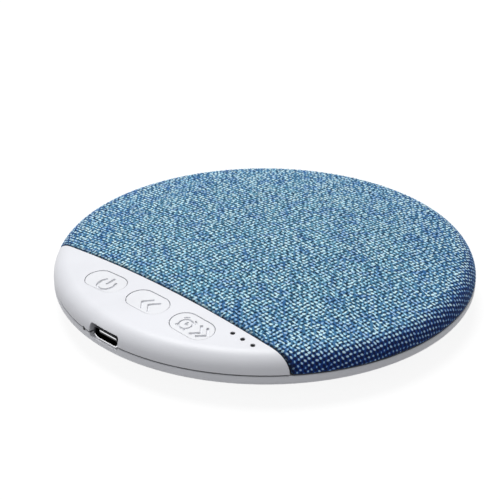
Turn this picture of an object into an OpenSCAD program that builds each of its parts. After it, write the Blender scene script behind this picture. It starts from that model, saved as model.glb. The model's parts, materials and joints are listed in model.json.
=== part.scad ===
// Pillow speaker: a slim, lens-shaped disc with a fabric-covered sound grille and a white
// control panel cut off along a chord. Millimetres, +Z up, the origin on the table under the
// middle of the disc, the control panel and its charging socket towards -Y.

/* [Body] */
// Outer diameter of the disc
body_d = 110; // [104:1:118]
// Height of the parting line between base and top above the table
seam_z = 7.4; // [7.2:0.1:9]
// Reveal left open between the base rim and the top
seam_gap = 0.4; // [0.1:0.05:0.5]
// Radius of the rounded top edge
edge_r = 4.8; // [4.5:0.1:6]
// Radius of the crowned top
crown_r = 365; // [300:5:450]
// Wall of the control panel and of the base rim
panel_wall = 2.4; // [2:0.1:2.6]

/* [Base] */
// Wall of the base
base_wall = 1.8; // [1.5:0.1:2]
// Radius of the flat underside
flat_r = 36; // [34:0.5:38]
// Radius of the curve that lifts the underside to the rim
belly_r = 39; // [36:0.5:44]
// Straight height of the rim below the parting line
rim_h = 1.17; // [0.8:0.01:1.5]
// Radius of the lower edge of the rim
rim_r = 1.5; // [1:0.1:1.8]
// Bevel along the top of the rim
rim_bevel = 0.15; // [0.1:0.05:0.4]

/* [Feet and case screws] */
// Diameter of a rubber foot
foot_d = 9; // [8:0.1:10]
// How far a foot stands below the base
foot_h = 0.7; // [0.5:0.1:1]
// Depth of the seat that holds a foot
foot_seat = 0.7; // [0.5:0.1:0.8]
// Spacing of the four feet and screws, both ways
foot_pitch = 46.6; // [45:0.1:48]
// Diameter of a case screw
screw_d = 2; // [1.8:0.1:2.2]
// Diameter of a case screw's head
screw_head_d = 4; // [3.6:0.1:4.2]
// Height of a case screw's head
screw_head_h = 1.3; // [1:0.1:1.4]
// Wall round a screw in its boss
boss_wall = 1.4; // [1.2:0.1:1.6]

/* [Fabric and grille] */
// Depth of the control panel, from the outer edge back to the fabric
panel_y = 20; // [19:0.1:21]
// Gap between the fabric and the panel along that edge
chord_gap = 0.2; // [0.1:0.05:0.3]
// Thickness of the fabric
fabric_t = 0.8; // [0.6:0.05:0.9]
// Thickness of the grille plate
grille_t = 1.6; // [1.3:0.1:1.8]
// Thickness of the deck under the grille
deck_t = 1.6; // [1.3:0.1:1.8]
// Diameter of a hole in the grille plate
grille_hole_d = 3; // [2.4:0.1:3.4]
// Spacing of the holes in the grille plate
grille_pitch = 4.4; // [4:0.1:5]

/* [Keys] */
// Length of a key
key_l = 12.4; // [11:0.1:13]
// Width of a key
key_w = 7.1; // [6.5:0.1:7.8]
// Gap round a key
key_gap = 0.15; // [0.1:0.05:0.25]
// Distance from one key to the next
key_pitch = 15.7; // [15.4:0.1:17]
// Where the middle key lies along the panel
key_x = 1.3; // [0:0.1:2]
// Distance from the outer edge back to the row of keys
key_y = 13.2; // [13:0.1:13.8]
// Travel of a key
key_travel = 0.3; // [0.2:0.05:0.35]

/* [Charging socket] */
// Outer width of the socket's shell
usb_w = 8.94; // [8.8:0.01:9.2]
// Outer height of the socket's shell
usb_h = 3.26; // [3.1:0.01:3.4]
// Length of the socket's shell
usb_l = 7; // [6.5:0.05:7.5]
// Sheet thickness of the socket's shell
usb_sheet = 0.3; // [0.2:0.01:0.35]
// Where the socket's middle lies along the panel
usb_x = 0; // [-1:0.1:1]
// Height of the socket's middle above the parting line
usb_lift = 1.05; // [1:0.05:1.6]
// How far the socket's mouth lies inside the outer surface
usb_inset = 0.75; // [0.4:0.05:1.6]
// Where the middle of the opening for the socket lies along the panel
port_x = -0.5; // [-1:0.1:0.4]
// Width of the opening in the panel for the socket
port_w = 10.5; // [9.8:0.1:11]
// Height of the opening in the panel for the socket
port_h = 3.7; // [3.4:0.1:4]
// Corner radius of that opening
port_r = 0.9; // [0.6:0.1:1.5]

/* [Indicators and microphone] */
// Diameter of an indicator hole
led_d = 1.2; // [0.9:0.1:1.3]
// Spacing of the indicator holes
led_pitch = 3.3; // [3:0.1:3.4]
// Distance along the panel from the last key to the first indicator hole
led_x = 9.2; // [8.8:0.1:9.6]
// Distance from the fabric forward to the row of indicator holes
led_y = 2.4; // [2.3:0.1:2.8]
// Diameter of the microphone hole
mic_d = 1; // [0.8:0.1:1.2]
// Where the microphone hole lies along the panel
mic_x = -8.2; // [-9:0.1:-7.6]

/* [Board and battery] */
// Thickness of the circuit board
board_t = 1.2; // [1:0.1:1.6]
// Height of a key switch's body above the board
switch_h = 1.4; // [1.2:0.1:1.6]
// Side of a key switch's body
switch_w = 4.5; // [4:0.1:4.8]
// Length of the battery, along the panel
battery_l = 34; // [30:0.5:35]
// Width of the battery
battery_w = 20; // [17:0.5:20.5]
// Thickness of the battery
battery_t = 5.5; // [4.5:0.1:6]

/* [Loudspeaker] */
// Diameter of the loudspeaker
driver_d = 42; // [38:0.5:44]
// Distance of the loudspeaker behind the middle of the disc
driver_y = 14; // [13:0.1:16]
// Diameter of the magnet
magnet_d = 15.2; // [14:0.1:16]
// Thickness of the magnet
magnet_t = 1.8; // [1.4:0.1:2]
// Most that the diaphragm moves from rest, each way
excursion = 0.5; // [0.3:0.05:0.6]

/* [Hidden] */
$fn = 128;

// Steps in the drawn arcs
edge_steps = 16;
crown_steps = 8;
belly_steps = 10;

// Clearances
skin_gap = 0.05;   // between fabric and plate
seat_gap = 0.15;   // between stacked shells
slip = 0.1;        // round a plunger, a foot or a screw
stop_gap = 0.1;    // between a key's flange and its collar
cut = 1;           // how far a cutting tool runs past a face

// The crowned top and its rounded edge
body_r = body_d / 2;
upper_z = seam_z + seam_gap;
edge_c = [body_r - edge_r, upper_z];
crown_z0 = upper_z - sqrt(pow(crown_r - edge_r, 2) - pow(body_r - edge_r, 2));
crown_a = atan2(upper_z - crown_z0, body_r - edge_r);
top_z = crown_z0 + crown_r;

// The shells that lie under the top, by their depth below it
plate_depth = fabric_t + skin_gap;
deck_depth = plate_depth + grille_t + seat_gap;
deck_under = deck_depth + deck_t;

// The base: a flat underside, and a curve that runs from it into the rounded rim
rim_in = body_r - deck_depth + seat_gap;
floor_z = foot_h + base_wall;
flat_edge = [flat_r, foot_h];
rim_c = [body_r - rim_r, seam_z - rim_h];
belly_c = meet(flat_edge, belly_r, rim_c, belly_r - rim_r);
belly_from = direction(flat_edge - belly_c);
belly_to = direction(rim_c - belly_c);
belly_in_r = belly_r - base_wall;
belly_in_to = -acos((rim_in - belly_c[0]) / belly_in_r);

// The skirt that locates the top in the base
skirt_r = body_r - deck_depth;
skirt_t = 1.6;
skirt_z = belly_c[1] - sqrt(pow(belly_in_r, 2) - pow(skirt_r - belly_c[0], 2)) + seat_gap;
bridge_t = 0.6;

// The edge between fabric and panel, from the middle of the disc
chord_y = body_r - panel_y;

// Low walls that hold the battery in place
fence_t = 1.2;
fence_h = 2.5;
fence_gap = 0.4;

// Posts that hold the grille plate to the deck
post_inset = 11.5;
post_r = body_r - post_inset;
post_d = 2;
post_angles = [-8, 28, 64, 116, 152, 188];
post_below = 0.8;

// The socket and the board that carries it
usb_z = seam_z + usb_lift;
usb_mouth_y = -(body_r - usb_inset);
block_l = 2.4;
tongue_w = 6.7;
tongue_t = 0.7;
tongue_inset = 0.75;
board_z = usb_z - usb_h / 2;
board_under = board_z - board_t;
board_gap = 0.4;
board_r = skirt_r - skirt_t - board_gap;
board_setback = 5.4;
board_front = body_r - board_setback;
board_lap = 4;
board_back = chord_y - board_lap;
post_in = 2;
post_end = 5.2;
board_post = [sqrt(pow(board_r, 2) - pow(board_back + post_in, 2)) - post_end, board_back + post_in];
board_screw_d = 1.8;
board_screw_head = [3.2, 1.1];
board_boss_r = board_screw_d / 2 + boss_wall;
board_pilot_cover = 0.5;
board_pilot_top = crown_at(norm(board_post), deck_depth) - board_pilot_cover;

// The keys and their switches
plunger_d = 1.8;
plunger_out = 0.5;
plunger_in = 0.5;
flange_z = board_z + switch_h + plunger_out;
flange_t = 0.8;
flange_rim = 0.9;
collar_z = flange_z + flange_t + stop_gap;
collar_t = 1.2;
key_sink = 0.1;
pillar_d = 3;

// The microphone
mic_size = [3.8, 3, 1.1];
mic_y = -(board_front - mic_size[1]);
mic_z = seam_z + seam_gap / 2;
mic_nose_bore = 0.5;
mic_nose_sink = 0.35;

// Plug-in headers for the battery and the loudspeaker
header = [5, 3.6, 2];
header_x = 7;
header_in = 0.6;
header_y = -(board_back + header[1] / 2 + header_in);

// Chips in a row beside the left board screw
radio = [6, 6, 0.9];
amplifier = [4, 4, 0.8];
crystal_can = [3.2, 2.5, 0.7];
chip_gap = 1.2;
chip_in = 2.4;
radio_x = -board_post[0] + board_boss_r + slip + radio[0] / 2;
amplifier_x = radio_x + (radio[0] + amplifier[0]) / 2 + chip_gap;
crystal_x = amplifier_x + (amplifier[0] + crystal_can[0]) / 2 + chip_gap;

// Small parts in two rows along the back of the board
passive = [1.6, 0.8, 0.6];
passive_pitch = 2.6;
passive_in = 1;
passive_left = -24;
passive_right = 13;

// The battery
pad_t = 0.5;
battery_gap = 1;
battery_y = -(board_back - battery_gap - battery_w / 2);
battery_z = floor_z + pad_t;

// The case screws
boss_drop = 0.6;
boss_top = seam_z - boss_drop;
head_z = foot_h + foot_seat + screw_head_h + slip;
top_boss_r = screw_d / 2 + boss_wall;
base_boss_r = screw_head_d / 2 + boss_wall;
pilot_cover = 0.9;
pilot_spare = 0.3;
pilot_top = crown_at(foot_pitch / sqrt(2), deck_depth) - pilot_cover;
screw_top = pilot_top - pilot_spare;

// The loudspeaker, from its face down
driver_r = driver_d / 2;
driver_flange_w = 2.4;
driver_flange_t = 1;
gasket_t = 0.5;
basket_r = driver_r - driver_flange_w;
basket_t = 0.8;
windows = 6;
window = [4, 5];
opening_lap = 0.3;
driver_opening_r = basket_r + opening_lap;
seat_drop = 0.3;
driver_seat_z = crown_at(driver_y + driver_r, deck_under) - seat_drop;
driver_z = driver_seat_z - gasket_t;
roll_t = 0.25;
roll_w = 3.2;
roll_r = roll_w / 2;
lip_w = 0.9;
ledge_z = driver_z - roll_t;
cone_t = 0.3;
cone_rise = 0.8;
cone_r = basket_r - roll_w;
cone_z = ledge_z - cone_t;
neck_z = cone_z - cone_rise;
cap_rise = 1.1;
cap_t = 0.25;
neck_gap = 0.7;
yoke_top = neck_z - excursion - neck_gap;
basket_z = yoke_top - basket_t;
pole_t = 1;
pole_lap = 0.3;
pole_r = magnet_d / 2 + pole_lap;
pole_z = yoke_top - pole_t;
magnet_z = pole_z - magnet_t;
yoke_gap = 0.3;
yoke_z = floor_z + yoke_gap;
former_gap = 0.25;
former_t = 0.2;
former_r = pole_r + former_gap;
coil_t = 0.75;
coil_h = 2.2;
coil_depth = 1.8;
coil_z = yoke_top - coil_depth;
coil_gap = 0.5;
yoke_in_r = former_r + former_t + coil_t + coil_gap;
yoke_wall = 1.5;
yoke_r = yoke_in_r + yoke_wall;
terminal = [7, 1.8, 2.2];
terminal_out = 0.9;
terminal_z = driver_z - driver_flange_t - terminal[2] - skin_gap;
terminal_y = driver_y - basket_r - basket_t - terminal_out;

// The wires
wire_d = 1;
wire_sides = 8;
wire_in_y = header_y + header[1] / 2;
wire_in_z = board_z + header[2] / 2;

// A point list along an arc about c, from angle a0 to a1
function arc(c, r, a0, a1, n) =
    [for (i = [0:n]) let (a = a0 + (a1 - a0) * i / n) c + r * [cos(a), sin(a)]];

// Angle that a vector points in
function direction(v) = atan2(v[1], v[0]);

// The upper point that lies ra from a and rb from b
function meet(a, ra, b, rb) = let (
    d = norm(b - a),
    e = (b - a) / d,
    along = (ra * ra - rb * rb + d * d) / (2 * d))
    a + along * e + sqrt(ra * ra - along * along) * [-e[1], e[0]];

// Height of the top at radius r, or of a shell at depth t below it
function crown_at(r, t = 0) = crown_z0 + sqrt(pow(crown_r - t, 2) - r * r);

// Half outline of everything under the top at depth t, down to height z0
function upper_outline(t, z0) = concat(
    [[0, z0], [body_r - t, z0]],
    arc(edge_c, edge_r - t, 0, crown_a, edge_steps),
    arc([0, crown_z0], crown_r - t, crown_a, 90, crown_steps));

// Where key i and indicator hole i lie, from 0 to 2
function key_at(i) = [key_x + (i - 1) * key_pitch, key_y - body_r];
function led_at(i) = [key_at(2)[0] + led_x + i * led_pitch, -chord_y - led_y];

module upper_body(t, z0) {
    rotate_extrude() polygon(upper_outline(t, z0));
}

// The shell between two depths below the top
module upper_shell(t0, t1, z0) {
    difference() {
        upper_body(t0, z0);
        upper_body(t1, z0 - cut);
    }
}

// Everything in front of, or behind, a chord at distance y
module front_of(y) {
    translate([-body_d, -y - body_d, -cut]) cube([2 * body_d, body_d, 2 * top_z]);
}

module behind(y) {
    translate([-body_d, -y, -cut]) cube([2 * body_d, 2 * body_d, 2 * top_z]);
}

module ring(r_out, r_in, z, h) {
    translate([0, 0, z]) difference() {
        cylinder(r = r_out, h = h);
        translate([0, 0, -cut]) cylinder(r = r_in, h = h + 2 * cut);
    }
}

module disc(r, z, h) {
    translate([0, 0, z]) cylinder(r = r, h = h);
}

module box(size, at) {
    translate([at[0] - size[0] / 2, at[1] - size[1] / 2, at[2]]) cube(size);
}

// A slot outline with round ends
module stadium(l, w) {
    square([l - w, w], center = true);
    for (s = [-1, 1]) translate([s * (l - w) / 2, 0]) circle(d = w);
}

// A rectangle with round corners
module rounded(l, w, r) {
    square([l - 2 * r, w], center = true);
    square([l, w - 2 * r], center = true);
    for (x = [-1, 1], y = [-1, 1]) translate([x * (l / 2 - r), y * (w / 2 - r)]) circle(r = r);
}

module key_prism(i, grow, z, h) {
    translate([key_at(i)[0], key_at(i)[1], z])
        linear_extrude(h) stadium(key_l + 2 * grow, key_w + 2 * grow);
}

// An ear at each end of a key, that stops it under its collar
module key_ears(i) {
    translate([key_at(i)[0], key_at(i)[1], flange_z])
        linear_extrude(flange_t) stadium(key_l + 2 * flange_rim, key_w);
}

// A slot-shaped bar in line with the socket, from y0 backwards
module port_bar(w, h, y0, l) {
    translate([usb_x, y0 + l, usb_z]) rotate([90, 0, 0]) linear_extrude(l) stadium(w, h);
}

// The opening for the socket, and room for its shell, to a depth below the outer surface
module port_cut(depth) {
    translate([port_x, depth - body_r, usb_z]) rotate([90, 0, 0])
        linear_extrude(depth + cut) rounded(port_w, port_h, port_r);
    port_bar(usb_w + 2 * skin_gap, usb_h + 2 * skin_gap, -body_r - cut, cut + depth);
}

module at_corners(pitch) {
    for (x = [-1, 1], y = [-1, 1]) translate([x * pitch / 2, y * pitch / 2, 0]) children();
}

module at_driver() {
    translate([0, driver_y, 0]) children();
}

module mic_bore() {
    translate([mic_x, 0, mic_z]) rotate([90, 0, 0]) cylinder(d = mic_d, h = body_d);
}

// Casing

module base_cover() {
    color("whitesmoke") difference() {
        union() {
            rotate_extrude() polygon(concat(
                [[0, foot_h]],
                arc(belly_c, belly_r, belly_from, belly_to, belly_steps),
                arc(rim_c, rim_r, belly_to, 0, belly_steps),
                [[body_r, seam_z - rim_bevel], [body_r - rim_bevel, seam_z], [rim_in, seam_z]],
                arc(belly_c, belly_in_r, belly_in_to, belly_from, belly_steps),
                [[0, floor_z]]));
            at_corners(foot_pitch)
                disc(base_boss_r, floor_z - base_wall / 2, boss_top - floor_z + base_wall / 2);
            for (i = [0:2]) translate([key_at(i)[0], key_at(i)[1], 0])
                disc(pillar_d / 2, floor_z, board_under - skin_gap - floor_z);
            battery_fence();
        }
        at_corners(foot_pitch) {
            disc(foot_d / 2 + slip, foot_h - cut, foot_seat + cut);
            disc(screw_head_d / 2 + slip, foot_h, head_z - foot_h);
            disc(screw_d / 2 + slip, foot_h, boss_top);
        }
        port_cut(body_r - skirt_r);
        mic_bore();
    }
}

// Low walls that hold the battery in place
module battery_fence() {
    inner = [battery_l + 2 * fence_gap, battery_w + 2 * fence_gap, fence_h + cut];
    outer = [inner[0] + 2 * fence_t, inner[1] + 2 * fence_t, fence_h + base_wall / 2];
    difference() {
        box(outer, [0, battery_y, floor_z - base_wall / 2]);
        box(inner, [0, battery_y, floor_z]);
        box([battery_l / 2, outer[1] + cut, fence_h + cut], [0, battery_y, floor_z]);
    }
}

module top_shell() {
    color("whitesmoke") difference() {
        union() {
            intersection() {
                upper_shell(0, panel_wall, upper_z);
                front_of(chord_y);
            }
            intersection() {
                upper_shell(0, deck_under, upper_z);
                front_of(chord_y);
                behind(chord_y + deck_t);
            }
            intersection() {
                upper_shell(deck_depth, deck_under, skirt_z);
                behind(chord_y + deck_t);
            }
            intersection() {
                union() {
                    ring(skirt_r, skirt_r - skirt_t, skirt_z, upper_z - skirt_z + bridge_t);
                    ring(rim_in + bridge_t, skirt_r - skirt_t, upper_z, bridge_t);
                }
                front_of(chord_y);
            }
            key_collars();
            top_bosses();
            driver_seat();
        }
        for (i = [0:2]) {
            key_prism(i, key_gap, 0, 2 * top_z);
            translate([led_at(i)[0], led_at(i)[1], 0]) cylinder(d = led_d, h = 2 * top_z);
        }
        port_cut(usb_inset + usb_l + seat_gap);
        mic_bore();
        at_driver() cylinder(r = driver_opening_r, h = 2 * top_z);
        at_corners(foot_pitch) disc(screw_d / 2, 0, pilot_top);
        for (s = [-1, 1]) translate([s * board_post[0], -board_post[1], 0])
            disc(board_screw_d / 2, 0, board_pilot_top);
        grille_posts(slip);
    }
}

// Guides under the panel that the keys slide in
module key_collars() {
    intersection() {
        upper_body(panel_wall / 2, 0);
        for (i = [0:2]) key_prism(i, key_gap + collar_t, collar_z, top_z);
        front_of(chord_y);
    }
}

// Posts that take the case screws and the board's screws
module top_bosses() {
    intersection() {
        upper_body(deck_depth + deck_t / 2, 0);
        union() {
            at_corners(foot_pitch) disc(top_boss_r, boss_top, top_z);
            for (s = [-1, 1]) translate([s * board_post[0], -board_post[1], 0])
                disc(board_boss_r, board_z, top_z);
        }
    }
}

// Flat ring under the deck that the loudspeaker hangs from
module driver_seat() {
    intersection() {
        upper_body(deck_depth + deck_t / 2, 0);
        at_driver() disc(driver_r, driver_seat_z, top_z);
    }
}

// The grille plate's posts, or with grow the holes they pass through
module grille_posts(grow) {
    for (a = post_angles) rotate([0, 0, a]) translate([post_r, 0, 0])
        disc(post_d / 2 + grow, crown_at(post_r, deck_under) - post_below, deck_under - plate_depth);
}

module grille_plate() {
    color("dimgray") union() {
        difference() {
            intersection() {
                upper_shell(plate_depth, plate_depth + grille_t, upper_z);
                behind(chord_y - chord_gap - plate_depth);
            }
            at_driver() grille_holes();
        }
        grille_posts(0);
    }
}

// A hexagonal field of sound holes over the loudspeaker
module grille_holes() {
    field_r = driver_opening_r - grille_hole_d / 2;
    n = ceil(field_r / grille_pitch) + 1;
    for (i = [-n:n], j = [-n:n]) {
        p = grille_pitch * [i + j / 2, j * sqrt(3) / 2];
        if (norm(p) < field_r) translate([p[0], p[1], 0]) cylinder(d = grille_hole_d, h = 2 * top_z);
    }
}

module grille_fabric() {
    color("steelblue") union() {
        intersection() {
            upper_shell(0, fabric_t, upper_z);
            behind(chord_y - chord_gap);
        }
        intersection() {
            upper_shell(0, plate_depth + grille_t, upper_z);
            behind(chord_y - chord_gap);
            front_of(chord_y - chord_gap - fabric_t);
        }
    }
}

module rubber_feet() {
    foot_round = 0.4;
    r = foot_d / 2;
    color("gainsboro") at_corners(foot_pitch) rotate_extrude() polygon(concat(
        [[0, 0]],
        arc([r - foot_round, foot_round], foot_round, -90, 0, 4),
        [[r, foot_h + foot_seat], [0, foot_h + foot_seat]]));
}

module case_screws() {
    color("silver") at_corners(foot_pitch) difference() {
        union() {
            disc(screw_head_d / 2, head_z - screw_head_h, screw_head_h);
            disc(screw_d / 2 - skin_gap, head_z - skin_gap, screw_top - head_z + skin_gap);
        }
        cross_recess(head_z - screw_head_h, screw_head_d * 0.6, screw_head_h * 0.6);
    }
}

module cross_recess(z, w, depth) {
    slot_t = w / 4;
    for (a = [0, 90]) rotate([0, 0, a]) box([w, slot_t, depth + cut], [0, 0, z - cut]);
}

// Keys

module key(i) {
    color("white") union() {
        intersection() {
            upper_body(key_sink, 0);
            key_prism(i, 0, flange_z, top_z);
        }
        key_ears(i);
    }
}

module plunger(i) {
    color("black") translate([key_at(i)[0], key_at(i)[1], 0])
        disc(plunger_d / 2, flange_z - plunger_out - plunger_in, plunger_out + plunger_in);
}

module power_key() { key(0); }
module back_key() { key(1); }
module timer_key() { key(2); }
module power_plunger() { plunger(0); }
module back_plunger() { plunger(1); }
module timer_plunger() { plunger(2); }

module key_switches() {
    leg = [0.8, 0.6, 0.3];
    color("silver") for (i = [0:2]) translate([key_at(i)[0], key_at(i)[1], 0]) {
        difference() {
            box([switch_w, switch_w, switch_h], [0, 0, board_z]);
            disc(plunger_d / 2 + slip, board_z + switch_h - plunger_in - key_travel - slip, switch_h);
        }
        for (x = [-1, 1], y = [-1, 1])
            box(leg, [x * (switch_w + leg[0]) / 2, y * switch_w / 3, board_z]);
    }
}

// Electronics

module main_board() {
    color("darkgreen") difference() {
        intersection() {
            disc(board_r, board_under, board_t);
            front_of(board_back);
            behind(board_front);
        }
        for (s = [-1, 1]) translate([s * board_post[0], -board_post[1], 0])
            disc(board_screw_d / 2 + slip, 0, top_z);
    }
}

module board_screws() {
    color("silver") for (s = [-1, 1]) translate([s * board_post[0], -board_post[1], 0]) difference() {
        union() {
            disc(board_screw_head[0] / 2, board_under - board_screw_head[1], board_screw_head[1]);
            disc(board_screw_d / 2 - skin_gap, board_under - skin_gap, board_pilot_top - board_under);
        }
        cross_recess(board_under - board_screw_head[1], board_screw_head[0] * 0.6, board_screw_head[1] * 0.6);
    }
}

module usb_shell() {
    color("silver") difference() {
        port_bar(usb_w, usb_h, usb_mouth_y, usb_l);
        port_bar(usb_w - 2 * usb_sheet, usb_h - 2 * usb_sheet, usb_mouth_y - cut, usb_l + 2 * cut);
    }
}

module usb_tongue() {
    fit = usb_sheet + skin_gap;
    tongue_l = usb_l - block_l - tongue_inset;
    color("black") union() {
        port_bar(usb_w - 2 * fit, usb_h - 2 * fit, usb_mouth_y + usb_l - block_l, block_l);
        box([tongue_w, tongue_l + cut, tongue_t],
            [usb_x, usb_mouth_y + tongue_inset + (tongue_l + cut) / 2, usb_z - tongue_t / 2]);
    }
}

module usb_contacts() {
    contact = [0.25, 2.6, 0.06];
    contact_pitch = 0.5;
    contacts = 12;
    y = usb_mouth_y + tongue_inset + 0.5 + contact[1] / 2;
    color("gold") for (i = [0:contacts - 1], z = [usb_z + tongue_t / 2, usb_z - tongue_t / 2 - contact[2]])
        box(contact, [usb_x + (i - (contacts - 1) / 2) * contact_pitch, y, z]);
}

module indicator_leds() {
    color("white") for (i = [0:2]) box([0.6, 1, 0.5], [led_at(i)[0], led_at(i)[1], board_z]);
}

// A clear bar with a pin up each indicator hole
module light_guide() {
    guide_z = upper_z + bridge_t + slip;
    guide_t = 1;
    guide_w = 1.6;
    pin_sink = 0.15;
    color("black") union() {
        box([2 * led_pitch + led_d, guide_w, guide_t],
            [led_at(1)[0], -chord_y - deck_t - seat_gap - guide_w / 2, guide_z]);
        intersection() {
            upper_body(pin_sink, 0);
            for (i = [0:2]) translate([led_at(i)[0], led_at(i)[1], 0])
                disc(led_d / 2 - skin_gap, guide_z, top_z);
        }
    }
}

module microphone() {
    color("silver") box(mic_size, [mic_x, mic_y, board_z]);
}

// A soft block before the microphone, with a nose that fills its hole in the wall
module mic_gasket() {
    wall_y = -sqrt(pow(skirt_r - skirt_t, 2) - pow(abs(mic_x) + mic_size[0] / 2, 2)) + seat_gap;
    face_y = mic_y - mic_size[1] / 2;
    tip_y = mic_nose_sink - sqrt(pow(body_r, 2) - pow(mic_x, 2));
    gasket_h = 1.4;
    color("dimgray") difference() {
        union() {
            box([mic_size[0], face_y - wall_y, gasket_h], [mic_x, (face_y + wall_y) / 2, board_z]);
            translate([mic_x, wall_y + skin_gap / 2, mic_z]) rotate([90, 0, 0])
                cylinder(d = mic_d - 2 * skin_gap, h = wall_y + skin_gap / 2 - tip_y);
        }
        translate([mic_x, 0, mic_z]) rotate([90, 0, 0]) cylinder(d = mic_nose_bore, h = body_d);
    }
}

// A part on the board at x, with its back edge a set distance in from the board's
module on_board(size, x, inset) {
    box(size, [x, -board_back - inset - size[1] / 2, board_z]);
}

module radio_chip() {
    color("black") on_board(radio, radio_x, chip_in);
}

module amplifier_chip() {
    color("black") on_board(amplifier, amplifier_x, chip_in);
}

module crystal() {
    color("silver") on_board(crystal_can, crystal_x, chip_in);
}

// Two rows of small resistors and capacitors
module board_passives() {
    color("tan") {
        for (i = [0:4]) on_board(passive, passive_left + i * passive_pitch, passive_in);
        for (i = [0:2]) on_board(passive, passive_right + i * passive_pitch, passive_in);
    }
}

module wire_connectors() {
    slot = [1.2, 2.4, 1.2];
    color("ivory") for (s = [-1, 1]) translate([s * header_x, header_y, board_z]) difference() {
        box(header, [0, 0, 0]);
        for (x = [-1, 1]) box(slot, [x * header[0] / 4, -header[1] / 2, 0.5]);
    }
}

module battery_pad() {
    color("dimgray") box([battery_l * 0.8, battery_w * 0.7, pad_t], [0, battery_y, floor_z]);
}

// A foil pouch: flat faces, and long edges folded to a half round
module pouch() {
    intersection() {
        box([battery_l, battery_w, battery_t], [0, battery_y, battery_z]);
        translate([-battery_l / 2, battery_y, battery_z + battery_t / 2]) rotate([90, 0, 90])
            linear_extrude(battery_l) stadium(battery_w, battery_t);
    }
}

module battery_cell() {
    color("silver") pouch();
}

// Direction of a wire at its point i
function tangent(p, i) = let (
    a = p[max(i - 1, 0)],
    b = p[min(i + 1, len(p) - 1)]) (b - a) / norm(b - a);

// A tube along a list of points
module wire(p) {
    n = len(p);
    points = [for (i = [0:n - 1]) let (
        t = tangent(p, i),
        u = cross(t, [1, 0, 0]) / norm(cross(t, [1, 0, 0])),
        v = cross(t, u))
        for (k = [0:wire_sides - 1]) let (a = 360 * k / wire_sides)
            p[i] + wire_d / 2 * (cos(a) * u + sin(a) * v)];
    sides = [for (i = [0:n - 2], k = [0:wire_sides - 1]) let (
        a = i * wire_sides + k,
        b = i * wire_sides + (k + 1) % wire_sides)
        [a, a + wire_sides, b + wire_sides, b]];
    ends = [[for (k = [0:wire_sides - 1]) k],
        [for (k = [wire_sides - 1:-1:0]) (n - 1) * wire_sides + k]];
    polyhedron(points, concat(sides, ends));
}

module battery_leads() {
    y0 = battery_y - battery_w / 2;
    top = battery_z + battery_t;
    color("firebrick") difference() {
        for (s = [-1, 1]) let (x = s * header[0] / 4 - header_x)
            wire([[x, wire_in_y, wire_in_z], [x, wire_in_y + 0.4, wire_in_z], [x, y0 - 0.4, top],
                [x, y0 + 0.6, top], [x, y0 + 1.6, top - 0.8], [x, y0 + 2, top - 1.4]]);
        pouch();
    }
}

// A solder strip on the side of the loudspeaker's frame
module driver_terminals() {
    color("tan") difference() {
        box([terminal[0], 2 * terminal[1], terminal[2]], [0, terminal_y + terminal[1], terminal_z]);
        at_driver() disc(basket_r + basket_t + skin_gap, 0, top_z);
    }
}

module speaker_leads() {
    over_z = battery_z + battery_t + wire_d;
    color("black") for (s = [-1, 1]) {
        x0 = s * terminal[0] / 4;
        x1 = header_x + s * header[0] / 4;
        y0 = terminal_y;
        z0 = terminal_z + terminal[2] / 2;
        wire([[x0, y0, z0], [x0, y0 - 0.4, z0], [x0, y0 - 1, z0 + 0.7], [x0, y0 - 1.6, over_z - 0.4],
            [x0 + (x1 - x0) * 0.05, y0 - 3, over_z], [x0 + (x1 - x0) * 0.5, battery_y, over_z + 0.2],
            [x0 + (x1 - x0) * 0.95, wire_in_y + 2.2, over_z], [x1, wire_in_y + 0.9, wire_in_z + 0.3],
            [x1, wire_in_y + 0.4, wire_in_z], [x1, wire_in_y, wire_in_z]]);
    }
}

// Loudspeaker

module driver_frame() {
    color("dimgray") at_driver() difference() {
        union() {
            ring(driver_r, basket_r, driver_z - driver_flange_t, driver_flange_t);
            ring(basket_r + basket_t, basket_r, basket_z, driver_z - driver_flange_t / 2 - basket_z);
            ring(basket_r + basket_t, yoke_r + skin_gap, basket_z, basket_t);
        }
        disc(basket_r + lip_w + slip, ledge_z, top_z);
        for (i = [0:windows - 1]) rotate([0, 0, (i + 0.5) * 360 / windows])
            box([window[0], window[1], basket_t + 2 * cut], [0, (basket_r + yoke_r) / 2, basket_z - cut]);
    }
}

module driver_yoke() {
    color("silver") at_driver() difference() {
        disc(yoke_r, yoke_z, yoke_top - yoke_z);
        disc(yoke_in_r, magnet_z, yoke_top);
    }
}

module driver_magnet() {
    color("gray") at_driver() disc(magnet_d / 2, magnet_z, magnet_t);
}

module driver_pole_plate() {
    color("silver") at_driver() disc(pole_r, pole_z, pole_t);
}

module coil_former() {
    color("tan") at_driver() ring(former_r + former_t, former_r, coil_z, neck_z - coil_z);
}

module voice_coil() {
    color("peru") at_driver() ring(former_r + former_t + coil_t, former_r + former_t, coil_z, coil_h);
}

// A shallow cone with a flat neck and a flat rim
module diaphragm() {
    neck_r = former_r + former_t + coil_t;
    rim_start = cone_r - lip_w;
    color("black") at_driver() rotate_extrude() polygon([
        [former_r, neck_z], [neck_r, neck_z], [rim_start, cone_z], [cone_r, cone_z],
        [cone_r, ledge_z], [rim_start, ledge_z], [neck_r, neck_z + cone_t], [former_r, neck_z + cone_t]]);
}

module dust_cap() {
    cap_r = former_r + former_t;
    ball_r = (cap_r * cap_r + cap_rise * cap_rise) / (2 * cap_rise);
    cap_a = asin(cap_r / ball_r);
    ball_c = [0, neck_z + cone_t + cap_rise - ball_r];
    color("black") at_driver() rotate_extrude() polygon(concat(
        arc(ball_c, ball_r, 90 - cap_a, 90, belly_steps),
        arc(ball_c + [0, cap_t], ball_r, 90, 90 - cap_a, belly_steps)));
}

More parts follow.
